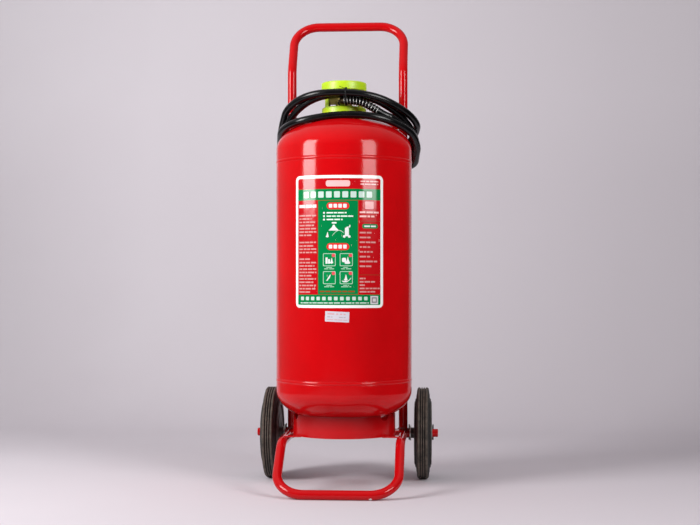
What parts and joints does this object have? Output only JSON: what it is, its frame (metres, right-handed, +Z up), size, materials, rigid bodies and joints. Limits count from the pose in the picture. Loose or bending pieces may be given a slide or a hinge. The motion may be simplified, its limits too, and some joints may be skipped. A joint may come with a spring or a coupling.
{
  "type": "wheeled fire extinguisher",
  "caption": "Wheeled fire extinguisher: upright cylinder on a tubular hand cart, valve with lever and pull pin under a plastic guard, hose wound round the top, shut-off gun behind.",
  "frame": {"origin": "middle of the footprint, on the floor", "axes": "+X to the right seen from the front, +Y to the back, +Z up"},
  "size_m": [0.45, 0.474, 1.1466],
  "materials": {
    "red_paint": "gloss powder coat",
    "red_frame": "gloss powder coat",
    "brass": "machined",
    "bright_steel": "bright zinc",
    "spring_steel": "drawn wire",
    "dark_rubber": "satin",
    "tyre_rubber": "matt, dusty tread",
    "rim_plate": "dull grey",
    "lime_plastic": "gloss",
    "lever_paint": "black coat",
    "black_plastic": "fine texture",
    "white_plastic": "fine print",
    "needle_paint": "matt",
    "clear_lens": "clear",
    "label_film": "printed film",
    "sticker_paper": "printed"
  },
  "bodies": {
    "extinguisher": {"top_head": "red_paint", "bottom_head": "red_paint", "cylinder_shell": "red_paint", "seam_welds": "red_paint", "base_ring": "red_paint", "neck_boss": "red_paint", "gun_clip": "red_paint", "handle_tube": "red_frame", "foot_tube": "red_frame", "rear_strap": "red_frame", "head_stay": "red_frame", "ring_lugs": "red_frame", "frame_welds": "red_frame", "hose_hooks": "red_frame", "axle_rod": "red_frame", "dip_tube": "white_plastic", "gauge_dial": "white_plastic", "dip_strainer": "black_plastic", "gun_grip": "black_plastic", "cable_tie": "black_plastic", "gun_nozzle": "black_plastic", "split_pins": "bright_steel", "axle_washers": "bright_steel", "lever_pivot_pin": "bright_steel", "gauge_case": "bright_steel", "union_nut": "bright_steel", "stem_spring": "spring_steel", "spring_guard": "spring_steel", "hose_lead": "dark_rubber", "hose_coil": "dark_rubber", "hose_tail": "dark_rubber", "valve_gasket": "dark_rubber", "valve_body": "brass", "outlet_elbow": "brass", "gun_ferrule": "brass", "gun_valve_body": "brass", "gun_barrel": "brass", "gauge_lens": "clear_lens", "guard_body": "lime_plastic", "label": "label_film", "inspection_sticker": "sticker_paper"},
    "left_wheel": {"left_tyre": "tyre_rubber", "left_rim": "rim_plate", "left_hub": "rim_plate"},
    "right_wheel": {"right_tyre": "tyre_rubber", "right_rim": "rim_plate", "right_hub": "rim_plate"},
    "operating_lever": {"valve_lever": "lever_paint"},
    "stem": {"valve_stem": "bright_steel"},
    "pull_pin": {"safety_pin": "bright_steel"},
    "guard_lid": {"guard_cap": "lime_plastic"},
    "needle": {"gauge_needle": "needle_paint"},
    "gun_handle": {"gun_lever": "needle_paint", "gun_valve_ball": "bright_steel", "gun_lever_nut": "black_plastic"}
  },
  "joints": [
    {"name": "left_wheel_spin", "type": "hinge", "parent": "extinguisher", "child": "left_wheel", "pos_m": [-0.188, 0.1245, 0.1125], "axis": [1, 0, 0], "continuous": true},
    {"name": "right_wheel_spin", "type": "hinge", "parent": "extinguisher", "child": "right_wheel", "pos_m": [0.188, 0.1245, 0.1125], "axis": [1, 0, 0], "continuous": true},
    {"name": "lever_press", "type": "hinge", "parent": "extinguisher", "child": "operating_lever", "pos_m": [-0.026, 0.009, 0.938], "axis": [0, 1, 0], "range_deg": [0, 8]},
    {"name": "stem_travel", "type": "slide", "parent": "extinguisher", "child": "stem", "axis": [0, 0, -1], "range_m": [0, 0.0036], "stiffness_N_per_m": 150, "springref_m": -0.004, "deforming": ["stem_spring"]},
    {"name": "pin_pull", "type": "slide", "parent": "extinguisher", "child": "pull_pin", "axis": [0, 1, 0], "range_m": [0, 0.032]},
    {"name": "lid_lift", "type": "slide", "parent": "extinguisher", "child": "guard_lid", "axis": [0, 0, 1], "range_m": [0, 0.06]},
    {"name": "needle_swing", "type": "hinge", "parent": "extinguisher", "child": "needle", "pos_m": [0, 0.0446, 0.916], "axis": [0, 1, 0], "range_deg": [-50, 50]},
    {"name": "gun_handle_turn", "type": "hinge", "parent": "extinguisher", "child": "gun_handle", "pos_m": [-0.02, 0.204, 0.6], "axis": [0, 1, 0], "range_deg": [0, 90]}
  ],
  "couplings": [
    {"joint": "stem_travel", "follows": "lever_press", "m_per_rad": 0.0258}
  ]
}
